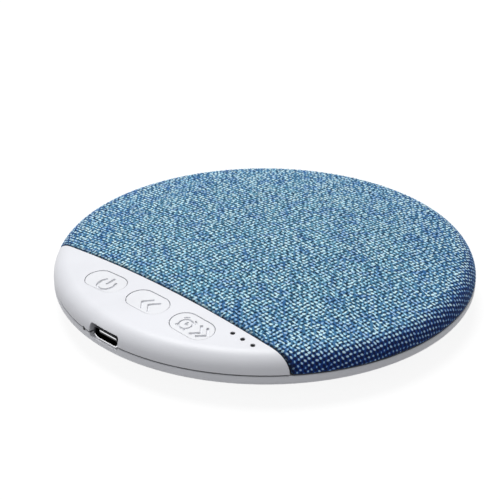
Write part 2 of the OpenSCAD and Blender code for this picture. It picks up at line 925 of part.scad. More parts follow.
// Half roll between the cone and the frame, with a lip on each
module surround() {
    c = [cone_r + roll_r, ledge_z];
    color("black") at_driver() rotate_extrude() polygon(concat(
        [[cone_r - lip_w, ledge_z]],
        arc(c, roll_r - roll_t, 180, 0, belly_steps),
        [[basket_r + lip_w, ledge_z], [basket_r + lip_w, ledge_z + roll_t]],
        arc(c, roll_r, asin(roll_t / roll_r), 180 - asin(roll_t / roll_r), belly_steps),
        [[cone_r - lip_w, ledge_z + roll_t]]));
}

module driver_gasket() {
    color("dimgray") at_driver() ring(driver_r, driver_opening_r, driver_z, gasket_t);
}

base_cover();
top_shell();
grille_plate();
grille_fabric();
rubber_feet();
case_screws();
power_key();
back_key();
timer_key();
power_plunger();
back_plunger();
timer_plunger();
key_switches();
main_board();
board_screws();
usb_shell();
usb_tongue();
usb_contacts();
indicator_leds();
light_guide();
microphone();
mic_gasket();
radio_chip();
amplifier_chip();
crystal();
board_passives();
wire_connectors();
battery_cell();
battery_pad();
battery_leads();
driver_frame();
driver_yoke();
driver_magnet();
driver_pole_plate();
coil_former();
voice_coil();
diaphragm();
dust_cap();
surround();
driver_gasket();
driver_terminals();
speaker_leads();
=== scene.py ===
"""Looks of the pillow speaker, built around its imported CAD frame. Metres, +Z up."""

import json
import math

import bmesh
import bpy
import numpy as np
from mathutils import Matrix, Vector

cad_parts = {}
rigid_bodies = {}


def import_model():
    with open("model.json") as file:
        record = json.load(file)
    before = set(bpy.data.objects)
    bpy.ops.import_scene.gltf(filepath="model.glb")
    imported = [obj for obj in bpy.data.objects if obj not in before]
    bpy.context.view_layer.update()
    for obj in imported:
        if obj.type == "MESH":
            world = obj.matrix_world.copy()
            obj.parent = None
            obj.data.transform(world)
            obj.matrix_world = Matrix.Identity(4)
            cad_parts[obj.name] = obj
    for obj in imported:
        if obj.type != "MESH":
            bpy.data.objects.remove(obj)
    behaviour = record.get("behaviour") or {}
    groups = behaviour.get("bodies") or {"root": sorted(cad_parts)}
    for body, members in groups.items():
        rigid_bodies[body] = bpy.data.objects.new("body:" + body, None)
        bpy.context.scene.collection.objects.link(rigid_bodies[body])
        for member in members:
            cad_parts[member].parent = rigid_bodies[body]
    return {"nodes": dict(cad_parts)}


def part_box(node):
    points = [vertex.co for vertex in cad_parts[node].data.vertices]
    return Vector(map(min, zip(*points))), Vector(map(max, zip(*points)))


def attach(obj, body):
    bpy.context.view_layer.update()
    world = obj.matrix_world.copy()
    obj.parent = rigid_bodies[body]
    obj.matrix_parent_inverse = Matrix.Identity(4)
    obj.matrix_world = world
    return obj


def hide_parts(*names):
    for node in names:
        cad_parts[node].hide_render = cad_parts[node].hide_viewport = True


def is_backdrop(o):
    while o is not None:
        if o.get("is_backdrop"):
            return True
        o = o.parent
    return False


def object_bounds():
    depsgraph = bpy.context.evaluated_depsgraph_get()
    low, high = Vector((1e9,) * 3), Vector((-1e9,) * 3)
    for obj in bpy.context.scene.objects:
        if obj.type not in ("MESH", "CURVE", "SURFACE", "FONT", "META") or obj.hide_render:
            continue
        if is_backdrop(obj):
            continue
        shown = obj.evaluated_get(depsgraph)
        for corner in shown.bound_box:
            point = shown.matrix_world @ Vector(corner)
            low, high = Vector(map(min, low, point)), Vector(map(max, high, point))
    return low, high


for left_over in list(bpy.data.objects):
    bpy.data.objects.remove(left_over)

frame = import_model()
nodes = frame["nodes"]
cad_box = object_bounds()

MM = 0.001
TINY = 1e-9

# The form of the top, as in the part's source: a crown, and an edge rounded down to the seam
BODY_R = 55 * MM
EDGE_R = 4.8 * MM
CROWN_R = 365 * MM
TOP_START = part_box("grille_fabric")[0].z
CHORD_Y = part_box("grille_fabric")[0].y
EDGE_MID = BODY_R - EDGE_R
CROWN_MID = TOP_START - math.sqrt((CROWN_R - EDGE_R) ** 2 - EDGE_MID**2)
LEAN_AT_EDGE = math.atan2(EDGE_MID, TOP_START - CROWN_MID)

# How far the crown and the whole cloth reach from the middle, measured along the surface
CROWN_REACH = LEAN_AT_EDGE * CROWN_R
CLOTH_REACH = CROWN_REACH + (math.pi / 2 - LEAN_AT_EDGE) * EDGE_R

# The gap of the seam, by its middle height, and the microphone hole in it
SEAM_Z = 7.6 * MM
SEAM_GAP = 0.4 * MM
MIC_X = -8.2 * MM
MIC_R = 0.5 * MM

# The camera, found by fitting the seam, the top edge and the rim of the base in the photograph
CAMERA_TURN = math.radians(44.35)
CAMERA_RISE = math.radians(27.72)
CAMERA_DISTANCE = 385 * MM
CAMERA_TARGET_Z = 7.7 * MM
CAMERA_YAW = math.radians(-0.64)
CAMERA_PITCH = math.radians(27.15)
CAMERA_ROLL = math.radians(-0.21)
CAMERA_CLIP = 10 * MM
FOCAL_PIXELS = 1465
PICTURE_PIXELS = 500
SENSOR = 36


# Helpers


def add_object(name, data):
    piece = bpy.data.objects.new(name, data)
    bpy.context.scene.collection.objects.link(piece)
    return piece


def colour(r, g, b):
    """A colour written as 0 to 255 values of the sRGB curve, as a linear one."""
    linear = []
    for c in (r, g, b):
        c = c / 255
        linear.append(c / 12.92 if c <= 0.04045 else ((c + 0.055) / 1.055) ** 2.4)
    return (*linear, 1.0)


def darker(tone, share):
    return (*(c * share for c in tone[:3]), 1.0)


# Sockets of a Mix node that mixes colours
MIX_SHARE, MIX_FIRST, MIX_SECOND, MIX_RESULT = 0, 6, 7, 2


class Graph:
    """A material's or world's node tree, with short ways to add nodes to it."""

    def __init__(self, tree):
        self.tree = tree
        self.tree.nodes.clear()

    def add(self, kind, **settings):
        node = self.tree.nodes.new("ShaderNode" + kind)
        for key, value in settings.items():
            setattr(node, key, value)
        return node

    def put(self, value, socket):
        """Links a node's output to a socket, or sets a constant. None leaves the socket as it is."""
        if isinstance(value, bpy.types.NodeSocket):
            self.tree.links.new(value, socket)
        elif value is not None:
            socket.default_value = value

    def math(self, operation, *values):
        node = self.add("Math", operation=operation)
        for value, socket in zip(values, node.inputs):
            self.put(value, socket)
        return node.outputs[0]

    def plus(self, a, b):
        return self.math("ADD", a, b)

    def minus(self, a, b):
        return self.math("SUBTRACT", a, b)

    def times(self, a, b):
        return self.math("MULTIPLY", a, b)

    def larger(self, a, b):
        return self.math("MAXIMUM", a, b)

    def scaled(self, value, factor, start):
        return self.math("MULTIPLY_ADD", value, factor, start)

    def about(self, chance, middle, spread):
        """Turns a value from 0 to 1 into one that varies about a middle."""
        return self.scaled(chance, spread, middle - spread / 2)

    def squares(self, x, y):
        """The sum of two squares."""
        return self.scaled(x, x, self.times(y, y))

    def smooth(self, value, start, end):
        """Runs from 0 at start to 1 at end."""
        node = self.add("MapRange", interpolation_type="SMOOTHSTEP")
        for v, socket in zip((value, start, end), node.inputs):
            self.put(v, socket)
        return node.outputs[0]

    def mix(self, share, a, b):
        node = self.add("Mix", data_type="RGBA")
        self.put(share, node.inputs[MIX_SHARE])
        self.put(a, node.inputs[MIX_FIRST])
        self.put(b, node.inputs[MIX_SECOND])
        return node.outputs[MIX_RESULT]

    def tinge(self, tone, tint, share, most):
        """Mixes a tint into a tone, at most by a given part."""
        return self.mix(self.times(share, most), tone, tint)

    def join(self, x=0.0, y=0.0, z=0.0):
        node = self.add("CombineXYZ")
        for v, socket in zip((x, y, z), node.inputs):
            self.put(v, socket)
        return node.outputs[0]

    def split(self, vector):
        node = self.add("SeparateXYZ")
        self.put(vector, node.inputs[0])
        return node.outputs

    def place(self, stretch=(1, 1, 1)):
        """Object coordinates, stretched along the axes."""
        node = self.add("Mapping")
        self.put(self.add("TexCoord").outputs["Object"], node.inputs["Vector"])
        node.inputs["Scale"].default_value = stretch
        return node.outputs[0]

    def noise(self, vector, scale, detail=2.0, roughness=0.5):
        node = self.add("TexNoise")
        self.put(vector, node.inputs["Vector"])
        self.put(scale, node.inputs["Scale"])
        self.put(detail, node.inputs["Detail"])
        self.put(roughness, node.inputs["Roughness"])
        return node.outputs[0]

    def chance(self, vector):
        """Three random values that belong to a whole-numbered place."""
        node = self.add("TexWhiteNoise", noise_dimensions="2D")
        self.put(vector, node.inputs["Vector"])
        return node.outputs["Color"]

    def bump(self, height, distance, strength=1.0, normal=None):
        node = self.add("Bump")
        self.put(strength, node.inputs["Strength"])
        self.put(distance, node.inputs["Distance"])
        self.put(height, node.inputs["Height"])
        self.put(normal, node.inputs["Normal"])
        return node.outputs[0]

    def rounded(self, radius):
        """Normals that round off the edges of a solid."""
        node = self.add("Bevel", samples=4)
        self.put(radius, node.inputs["Radius"])
        return node.outputs[0]


class Finish(Graph):
    """The node tree of a material with one shader, for a surface of the part."""

    def __init__(self, name):
        self.material = bpy.data.materials.new(name + "_finish")
        self.material.use_nodes = True
        super().__init__(self.material.node_tree)
        self.shader = self.add("BsdfPrincipled")
        self.put(self.shader.outputs[0], self.add("OutputMaterial").inputs[0])

    def set(self, name, value):
        self.put(value, self.shader.inputs[name])

    def set_gloss(self, pattern, rough, spread=0.2):
        """Roughness that varies with a pattern about its middle."""
        self.set("Roughness", self.about(pattern, rough, spread))


# Camera, floor and light


def set_camera():
    data = bpy.data.cameras.new("camera")
    data.sensor_width = SENSOR
    data.lens = FOCAL_PIXELS / PICTURE_PIXELS * SENSOR
    data.clip_start = CAMERA_CLIP
    camera = add_object("camera", data)
    reach = CAMERA_DISTANCE * math.cos(CAMERA_RISE)
    place = Vector((0, -reach, CAMERA_DISTANCE * math.sin(CAMERA_RISE) + CAMERA_TARGET_Z))
    ahead = Vector(
        (
            math.sin(CAMERA_YAW) * math.cos(CAMERA_PITCH),
            math.cos(CAMERA_YAW) * math.cos(CAMERA_PITCH),
            -math.sin(CAMERA_PITCH),
        )
    )
    level = Vector((math.cos(CAMERA_YAW), -math.sin(CAMERA_YAW), 0))
    above = level.cross(ahead)
    right = math.cos(CAMERA_ROLL) * level + math.sin(CAMERA_ROLL) * above
    up = math.cos(CAMERA_ROLL) * above - math.sin(CAMERA_ROLL) * level
    axes = Matrix((right, up, -ahead)).transposed().to_4x4()
    turn = Matrix.Rotation(CAMERA_TURN, 4, "Z")
    camera.matrix_world = turn @ Matrix.Translation(place) @ axes
    bpy.context.scene.camera = camera


FLOOR_HALF = 3.0

# The floor lights the part with one tone and shows itself with another, under its own glow
FLOOR_BOUNCE = (0.42, 0.42, 0.43, 1)
FLOOR_SHOWN = (0.16, 0.16, 0.16, 1)
FLOOR_GLOW = 0.89

# The world is dim as a lamp and full where it shows
WORLD_TINT = (0.97, 0.98, 1, 1)
WORLD_LIGHT = 0.25


def shown_rays(graph):
    """1 for rays that show the background: straight to the camera, mirrored or let through."""
    path = graph.add("LightPath").outputs
    seen = graph.larger(path["Is Camera Ray"], path["Is Glossy Ray"])
    return graph.larger(seen, path["Is Transmission Ray"])


def set_floor():
    mesh = bpy.data.meshes.new("floor")
    signs = ((-1, -1), (1, -1), (1, 1), (-1, 1))
    mesh.from_pydata([(FLOOR_HALF * x, FLOOR_HALF * y, 0) for x, y in signs], [], [(0, 1, 2, 3)])
    floor = add_object("floor", mesh)
    material = bpy.data.materials.new("floor")
    material.use_nodes = True
    graph = Graph(material.node_tree)
    seen = shown_rays(graph)
    dull = graph.add("BsdfDiffuse")
    graph.put(graph.mix(seen, FLOOR_BOUNCE, FLOOR_SHOWN), dull.inputs["Color"])
    glow = graph.add("Emission")
    graph.put(graph.times(seen, FLOOR_GLOW), glow.inputs["Strength"])
    both = graph.add("AddShader")
    graph.put(dull.outputs[0], both.inputs[0])
    graph.put(glow.outputs[0], both.inputs[1])
    graph.put(both.outputs[0], graph.add("OutputMaterial").inputs[0])
    mesh.materials.append(material)
    floor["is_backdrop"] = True


def set_world():
    world = bpy.data.worlds.new("studio")
    bpy.context.scene.world = world
    world.use_nodes = True
    graph = Graph(world.node_tree)
    background = graph.add("Background")
    graph.put(WORLD_TINT, background.inputs["Color"])
    strength = graph.scaled(shown_rays(graph), 1 - WORLD_LIGHT, WORLD_LIGHT)
    graph.put(strength, background.inputs["Strength"])
    graph.put(background.outputs[0], graph.add("OutputWorld").inputs[0])


def soft_box(name, place, size, power):
    """A round lamp that faces the part."""
    data = bpy.data.lights.new(name, "AREA")
    data.shape = "DISK"
    data.size = size
    data.energy = power
    light = add_object(name, data)
    light.location = place
    light.rotation_euler = (-Vector(place)).to_track_quat("-Z", "Y").to_euler()


def set_light():
    soft_box("overhead", place=(-0.25, 0.1, 0.75), size=0.5, power=5.35)
    soft_box("front", place=(0.1, -0.65, 0.38), size=0.5, power=0.66)


# Materials

# Ranges of a noise in which one tone gives way to another
MOTTLE = (0.35, 0.65)
BROAD_MOTTLE = (0.3, 0.7)

# How soft the edge of the painted shade in the dark microphone hole is, where painted shade darkens
# the seam's gap, and how much; and the tone of that painted shade
HOLE_BLUR = 1.1
SEAM_MOUTH = 0.1 * MM
SEAM_DEEP = 0.4 * MM
SEAM_SLACK = 0.01 * MM
SEAM_SHADE_SHARE = 0.6
OPENING_SHADE = colour(6, 6, 8)

# Where a turn of wire rises from its groove to its ridge, in parts of the pitch
RIDGE = (0.05, 0.35)

# The charging socket's steel is brushed along its depth
SOCKET_BRUSH = (1, 0.15, 1)

# The painted highlight on the lip of the charging socket's shell, measured from the shell's lower
# front corner:
# where it ends and where it is full, upward and backward, and the slope that the lip is rolled by
LIP_TOP = 1.1 * MM
LIP_FULL = 0.7 * MM
LIP_BACK = 0.25 * MM
LIP_FRONT = 0.15 * MM
LIP_SLOPE = 0.5

# The bright strip on the tip of the socket's tongue
STRIP_BACK = 0.3 * MM
STRIP_FRONT = 0.2 * MM
STRIP_BLUR = 0.06 * MM


def shade_in_openings(graph):
    """How much painted shade the casing takes inside: the wall of the microphone hole most, the seam's
    gap less.
    """
    x, y, z = graph.split(graph.place())
    off_hole = graph.squares(graph.minus(x, MIC_X), graph.minus(z, SEAM_Z))
    hole = graph.smooth(graph.math("SQRT", off_hole), HOLE_BLUR * MIC_R, MIC_R)
    in_hole = graph.times(hole, graph.math("LESS_THAN", y, 0.0))
    reach = graph.math("SQRT", graph.squares(x, y))
    deep = graph.smooth(reach, BODY_R - SEAM_MOUTH, BODY_R - SEAM_DEEP)
    in_gap = graph.math("COMPARE", z, SEAM_Z, SEAM_GAP / 2 + SEAM_SLACK)
    return graph.larger(in_hole, graph.times(graph.times(deep, in_gap), SEAM_SHADE_SHARE))


def moulded(name, tint, rough, grain=2600, depth=0.012 * MM, edge=0.2 * MM, vary=0.04, paint_opening_shade=False):
    """Moulded plastic: a fine spark-eroded grain, slight unevenness, and softly rounded edges."""
    finish = Finish(name)
    place = finish.place()
    cloud = finish.noise(place, scale=60, detail=3)
    light = colour(*tint)
    tone = finish.mix(finish.smooth(cloud, *MOTTLE), darker(light, 1 - vary), light)
    # Painted shade inside the microphone hole and the seam's gap
    if paint_opening_shade:
        tone = finish.mix(shade_in_openings(finish), tone, OPENING_SHADE)
    finish.set("Base Color", tone)
    finish.set_gloss(finish.noise(place, scale=240, detail=3), rough, spread=0.14)
    fine = finish.noise(place, grain, roughness=0.6)
    finish.set("Normal", finish.bump(fine, depth, strength=0.5, normal=finish.rounded(edge)))
    return finish.material


def metal(name, tint, rough, brush=(1, 1, 1), grain=900, depth=0.01 * MM, edge=0.06 * MM, dull=0.72):
    """Metal with a brushed or matt grain and a few duller patches."""
    finish = Finish(name)
    lines = finish.noise(finish.place(brush), grain, detail=4, roughness=0.6)
    patch = finish.noise(finish.place(), scale=140, detail=3)
    bright = colour(*tint)
    tone = finish.mix(finish.smooth(patch, *BROAD_MOTTLE), darker(bright, dull), bright)
    finish.set("Base Color", tone)
    finish.set_gloss(lines, rough)
    finish.set("Metallic", 1.0)
    finish.set("Normal", finish.bump(lines, depth, strength=0.6, normal=finish.rounded(edge)))
    return finish.material


def matt(name, tint, second, scale, rough, depth, sheen=0.0):
    """Rubber, foam, paper or lacquer: two tones mottled at a given scale, with matching relief."""
    finish = Finish(name)
    spots = finish.noise(finish.place(), scale, detail=4, roughness=0.6)
    tone = finish.mix(finish.smooth(spots, *MOTTLE), colour(*tint), colour(*second))
    finish.set("Base Color", tone)
    finish.set_gloss(spots, rough)
    finish.set("Sheen Weight", sheen)
    finish.set("Normal", finish.bump(spots, depth, strength=0.7))
    return finish.material


def board_lacquer(name):
    """Green solder mask with raised copper tracks under it."""
    finish = Finish(name)
    tracks = finish.add("TexBrick", offset=0.35, squash=1.6)
    finish.put(130, tracks.inputs["Scale"])
    finish.put(0.05, tracks.inputs["Mortar Size"])
    finish.put(finish.place(), tracks.inputs["Vector"])
    on_track = tracks.outputs[1]
    cloud = finish.noise(finish.place(), scale=90, detail=3)
    mask = finish.mix(cloud, colour(16, 66, 38), colour(24, 84, 48))
    finish.set("Base Color", finish.mix(on_track, mask, colour(58, 118, 66)))
    finish.set_gloss(cloud, rough=0.3)
    finish.set("Normal", finish.bump(on_track, 0.03 * MM, strength=0.7))
    return finish.material


def wound(name, tint, groove_shade, pitch):
    """Turns of lacquered wire round the Z axis, with painted shade in the grooves between them."""
    finish = Finish(name)
    z = finish.split(finish.place())[2]
    turn = finish.math("PINGPONG", finish.times(z, 1 / pitch), 0.5)
    ridge = finish.smooth(turn, *RIDGE)
    # Darker in the grooves between turns: painted shade
    finish.set("Base Color", finish.mix(ridge, colour(*groove_shade), colour(*tint)))
    finish.set_gloss(finish.noise(finish.place(), scale=500), rough=0.3)
    finish.set("Metallic", 0.8)
    finish.set("Normal", finish.bump(ridge, pitch / 2))
    return finish.material


def smoked(name):
    """Dark, slightly clouded clear plastic of the indicator pins."""
    finish = Finish(name)
    cloud = finish.noise(finish.place(), scale=700, detail=3)
    finish.set("Base Color", finish.mix(cloud, colour(10, 10, 12), colour(20, 20, 23)))
    finish.set_gloss(cloud, rough=0.195, spread=0.15)
    finish.set("Specular IOR Level", 0.1)
    finish.set("Normal", finish.bump(cloud, 0.01 * MM, strength=0.4))
    return finish.material


def socket_mouth(name):
    """The socket's shell: a painted highlight along its rolled lower lip, and painted shade above it
    under the panel's edge.
    """
    finish = Finish(name)
    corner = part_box("usb_shell")[0]
    lines = finish.noise(finish.place(SOCKET_BRUSH), scale=900, detail=4, roughness=0.6)
    _, y, z = finish.split(finish.place())
    low = finish.smooth(z, corner.z + LIP_TOP, corner.z + LIP_FULL)
    painted_highlight = finish.times(low, finish.smooth(y, corner.y + LIP_BACK, corner.y + LIP_FRONT))
    # Painted shade on the shell's steel, and a painted highlight along its lower lip
    finish.set("Base Color", finish.mix(painted_highlight, colour(44, 45, 48), colour(250, 250, 252)))
    finish.set_gloss(lines, rough=0.24)
    finish.set("Metallic", 1.0)
    downward = finish.times(z, -1.0)
    rolled = finish.bump(downward, LIP_SLOPE, normal=finish.rounded(0.2 * MM))
    finish.set("Normal", finish.bump(lines, 0.01 * MM, strength=0.6, normal=rolled))
    return finish.material


def socket_tongue(name):
    """Black plastic with a bright metal strip along the upper edge of its tip."""
    finish = Finish(name)
    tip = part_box("usb_tongue")[0].y
    middle = (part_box("usb_shell")[0].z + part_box("usb_shell")[1].z) / 2
    _, y, z = finish.split(finish.place())
    at_tip = finish.smooth(y, tip + STRIP_BACK, tip + STRIP_FRONT)
    strip = finish.times(at_tip, finish.smooth(z, middle, middle + STRIP_BLUR))
    grain = finish.noise(finish.place(), scale=3000, detail=3)
    black = finish.mix(grain, colour(14, 14, 15), colour(28, 28, 30))
    finish.set("Base Color", finish.mix(strip, black, colour(240, 241, 244)))
    finish.set("Metallic", strip)
    finish.set_gloss(grain, rough=0.23, spread=0.1)
    relief = finish.times(grain, finish.minus(1.0, strip))
    edges = finish.rounded(0.05 * MM)
    finish.set("Normal", finish.bump(relief, 0.012 * MM, strength=0.6, normal=edges))
    return finish.material


MOULDED = {
    "white_plastic": dict(tint=(231, 232, 237), rough=0.42, paint_opening_shade=True),
    "key_plastic": dict(tint=(232, 233, 237), rough=0.40, edge=0.22 * MM),
    "grey_plastic": dict(tint=(62, 64, 68), rough=0.5, grain=1800, depth=0.02 * MM, vary=0.15),
    "black_plastic": dict(tint=(22, 22, 24), rough=0.35, grain=3000, edge=0.05 * MM, vary=0.2),
    "connector_ivory": dict(tint=(226, 216, 190), rough=0.45, vary=0.08),
    "led_white": dict(tint=(236, 232, 205), rough=0.25, grain=4000, vary=0.1),
    "chip_black": dict(
        tint=(30, 30, 32), rough=0.55, grain=5000, depth=0.02 * MM, edge=0.05 * MM, vary=0.25
    ),
    "terminal_brown": dict(tint=(122, 84, 48), rough=0.6, grain=1500, depth=0.03 * MM, vary=0.2),
}

METAL = {
    "socket_steel": dict(tint=(196, 198, 202), rough=0.24, brush=SOCKET_BRUSH),
    "switch_metal": dict(tint=(150, 152, 156), rough=0.38),
    "screw_steel": dict(tint=(205, 207, 211), rough=0.3, brush=(1, 1, 0.2)),
    "gold_contact": dict(tint=(226, 178, 88), rough=0.22, brush=(1, 0.2, 1)),
    "magnet_nickel": dict(tint=(188, 184, 176), rough=0.2, depth=0.004 * MM),
}

MATT = {
    "battery_foil": dict(
        tint=(176, 178, 182), second=(206, 208, 210), scale=420, rough=0.35, depth=0.08 * MM
    ),
    "foot_rubber": dict(
        tint=(176, 178, 182), second=(196, 198, 202), scale=1500, rough=0.8, depth=0.03 * MM
    ),
    "soft_foam": dict(tint=(20, 20, 22), second=(46, 46, 50), scale=1600, rough=0.95, depth=0.12 * MM),
    "passive_tan": dict(
        tint=(150, 118, 82), second=(186, 156, 116), scale=1400, rough=0.5, depth=0.02 * MM
    ),
    "former_amber": dict(
        tint=(170, 104, 34), second=(196, 132, 54), scale=500, rough=0.3, depth=0.01 * MM
    ),
    "cone_black": dict(
        tint=(26, 26, 27), second=(46, 45, 44), scale=1900, rough=0.9, depth=0.08 * MM, sheen=0.1
    ),
    "surround_rubber": dict(
        tint=(20, 20, 21), second=(34, 34, 36), scale=900, rough=0.6, depth=0.02 * MM
    ),
    "wire_red": dict(tint=(164, 22, 20), second=(190, 34, 28), scale=600, rough=0.45, depth=0.02 * MM),
    "wire_black": dict(tint=(18, 18, 19), second=(34, 34, 36), scale=600, rough=0.45, depth=0.02 * MM),
}

GASKET = dict(tint=(6, 6, 8), second=(16, 16, 18), scale=1600, rough=0.95, depth=0.05 * MM)
COIL = dict(tint=(196, 112, 62), groove_shade=(96, 46, 22), pitch=0.14 * MM)


def make_materials():
    finishes = {
        "board_green": board_lacquer("board_green"),
        "coil_copper": wound("coil_copper", **COIL),
        "smoked_clear": smoked("smoked_clear"),
    }
    for make, looks in ((moulded, MOULDED), (metal, METAL), (matt, MATT)):
        for name, look in looks.items():
            finishes[name] = make(name, **look)
    return finishes


def dress_nodes(materials):
    """Gives each CAD node the finish of the record's slot that it was packed with, or its own."""
    own = {
        "usb_shell": socket_mouth("socket_mouth"),
        "usb_tongue": socket_tongue("socket_tongue"),
        "mic_gasket": matt("mic_gasket", **GASKET),
    }
    for name, node in nodes.items():
        slots = node.data.materials
        finish = own.get(name) or materials.get(slots[0].name)
        if finish:
            slots.clear()
            slots.append(finish)


# The woven finish

# Ranges of the cloth's bend, which is 0 at the start of the rounded edge and 1 at the seam
NEAR_EDGE = (-3.5, 0.2)
EDGE = (-0.3, 0.6)
FAR_EDGE = (0.0, 0.9)

# The blue ground, with bluer slubs and a deep blue edge, which is painted shade on the rounded side
GROUND = colour(66, 123, 152)
LIGHT_GROUND = colour(93, 149, 174)
SLUB_GROUND = colour(36, 88, 152)
NEAR_EDGE_SHADE = colour(40, 100, 170)
EDGE_SHADE = colour(12, 46, 124)

# Dark dips at the odd crossings: the blue yarn's navy, darkened further by painted shade of the hollow
DIP = colour(0, 26, 46)
BLUE_DIP = colour(8, 52, 76)
EDGE_DIP_SHADE = colour(3, 16, 60)
DIP_LENGTH = 0.52
DIP_WIDTH = 0.58

# Pale floats at the even crossings, smaller and bluer at the edge as part of the painted shade there.
# Sizes are in steps of the weave
FLOAT = colour(174, 226, 248)
BRIGHT_FLOAT = colour(218, 249, 255)
SLUB_FLOAT = colour(120, 170, 226)
EDGE_FLOAT_SHADE = colour(110, 164, 236)
BRIGHT_RANGE = (0.0, 0.75)
FLOAT_LENGTH = 0.32
FLOAT_LENGTH_SPREAD = 0.24
FLOAT_LENGTH_LOST = 0.15
FLOAT_WIDTH = 0.49
FLOAT_WIDTH_LOST = 0.16
OVAL_RIM = 1.2

# How far floats stray and lean from their crossings, and how much of that the edge takes away
ALONG_STRAY = 0.8
BESIDE_STRAY = 0.44
LEAN_SPREAD = 2.4
EDGE_CALM = 0.6

# Factors that set the chances of both kinds of crossing, and of stray and lean, apart
APART = 1000
RESHUFFLE = 17.0

# Slubs: patches where both yarns run bluer, drawn out along one yarn or the other
SLUB_SCALE = 0.64
SLUB_ALONG = 0.2
SLUB_ACROSS = 0.6
SLUB_SHIFT = 7.0
WEFT_SLUB = (0.52, 0.64)
WARP_SLUB = (0.56, 0.7)

# Dark strands all over, the painted shade of the fold along the panel, and the fibres, drawn out along
# the weft
STRAND = colour(6, 30, 60)
STRAND_RANGE = (0.62, 0.38)
FOLD_SHADOW = colour(16, 20, 28)
FOLD_RANGE = (0.3, 0.6)
FOLD_LEAST = 0.35
FOLD_MORE = 0.6
FIBRE_SHEEN = colour(150, 196, 240)
FIBRE_ALONG = 0.4


def woven(name):
    """The melange weave: pale floats on a blue ground, with dark dips between them, and painted shade
    on the rounded edge and along the fold at the panel.
    """
    finish = Finish(name)
    cloth = finish.add("Attribute", attribute_name="cloth").outputs["Vector"]
    weft, warp, bend = finish.split(cloth)
    fold = finish.add("Attribute", attribute_name="fold").outputs["Fac"]
    yarns = finish.join(weft, warp)
    near_edge = finish.smooth(bend, *NEAR_EDGE)
    edge = finish.smooth(bend, *EDGE)
    far_edge = finish.smooth(bend, *FAR_EDGE)
    calm = finish.scaled(edge, -EDGE_CALM, 1.0)

    def floats(start):
        """Where a point lies on the nearest crossing, along and across the pale yarn, and a chance."""
        up = finish.scaled(finish.plus(weft, warp), 0.5, start)
        down = finish.scaled(finish.minus(weft, warp), 0.5, start)
        row, column = finish.math("ROUND", up), finish.math("ROUND", down)
        x, y = finish.minus(up, row), finish.minus(down, column)
        crossing = finish.join(finish.plus(row, APART * start), column)
        first, second, third = finish.split(finish.chance(crossing))
        ahead = finish.times(finish.about(first, 0, ALONG_STRAY), calm)
        along = finish.plus(finish.plus(x, y), ahead)
        aside = finish.times(finish.about(second, 0, BESIDE_STRAY), calm)
        beside = finish.plus(finish.minus(x, y), aside)
        fourth = finish.math("FRACT", finish.times(first, RESHUFFLE))
        lean = finish.times(finish.about(fourth, 0, LEAN_SPREAD), calm)
        return along, finish.scaled(along, lean, beside), third

    def oval(along, beside, length, width, core):
        """1 inside an oval's core, and 0 past its rim."""
        x = finish.math("DIVIDE", along, length)
        y = finish.math("DIVIDE", beside, width)
        return finish.smooth(finish.squares(x, y), OVAL_RIM, core)

    def slubs(along_weft, along_warp, shift, limits):
        run = finish.join(finish.times(weft, along_weft), finish.times(warp, along_warp), shift)
        return finish.smooth(finish.noise(run, SLUB_SCALE), *limits)

    weft_slub = slubs(SLUB_ALONG, SLUB_ACROSS, 0.0, WEFT_SLUB)
    slub = finish.larger(weft_slub, slubs(SLUB_ACROSS, SLUB_ALONG, SLUB_SHIFT, WARP_SLUB))

    cloud = finish.smooth(finish.noise(yarns, scale=0.09, detail=3), *BROAD_MOTTLE)
    ground = finish.mix(cloud, GROUND, LIGHT_GROUND)
    ground = finish.tinge(ground, SLUB_GROUND, slub, most=0.7)
    # Painted shade on the rounded edge: the ground turns deep blue towards the seam
    ground = finish.tinge(ground, NEAR_EDGE_SHADE, near_edge, most=0.35)
    ground = finish.tinge(ground, EDGE_SHADE, edge, most=0.9)

    along, beside, luck = floats(0.5)
    # The dips' near-black is partly painted shade of the hollow
    dip = finish.mix(edge, finish.mix(luck, DIP, BLUE_DIP), EDGE_DIP_SHADE)
    in_dip = oval(along, beside, DIP_LENGTH, DIP_WIDTH, core=0.4)
    shown = finish.mix(in_dip, ground, dip)

    along, beside, luck = floats(0.0)
    # Floats shrink and turn bluer towards the seam, as part of the painted shade on the edge
    least = finish.scaled(far_edge, -FLOAT_LENGTH_LOST, FLOAT_LENGTH)
    length = finish.scaled(luck, FLOAT_LENGTH_SPREAD, least)
    width = finish.scaled(far_edge, -FLOAT_WIDTH_LOST, FLOAT_WIDTH)
    pale = finish.mix(finish.smooth(luck, *BRIGHT_RANGE), FLOAT, BRIGHT_FLOAT)
    pale = finish.tinge(pale, SLUB_FLOAT, slub, most=0.6)
    pale = finish.tinge(pale, EDGE_FLOAT_SHADE, far_edge, most=0.4)
    in_float = oval(along, beside, length, width, core=0.5)
    shown = finish.tinge(shown, pale, in_float, most=0.96)

    strand = finish.smooth(finish.noise(yarns, scale=2.4, roughness=0.6), *STRAND_RANGE)
    shown = finish.tinge(shown, STRAND, strand, most=0.1)
    # Painted shade of the fold along the panel, made patchy by a noise
    patchy_fold_shade = finish.smooth(finish.noise(yarns, scale=1.1), *FOLD_RANGE)
    fold_shade_share = finish.times(fold, finish.scaled(patchy_fold_shade, FOLD_MORE, FOLD_LEAST))
    finish.set("Base Color", finish.mix(fold_shade_share, shown, FOLD_SHADOW))

    drawn_out = finish.join(finish.times(weft, FIBRE_ALONG), warp)
    fibre = finish.noise(drawn_out, scale=8.0, roughness=0.7)
    finish.set_gloss(fibre, rough=0.855, spread=0.15)
    finish.set("Specular IOR Level", 0.2)
    finish.set("Sheen Weight", 0.25)
    finish.set("Sheen Roughness", 0.4)
    finish.set("Sheen Tint", FIBRE_SHEEN)
    finish.set("Normal", finish.bump(fibre, 0.05 * MM, strength=0.5))
    return finish.material


# The fabric

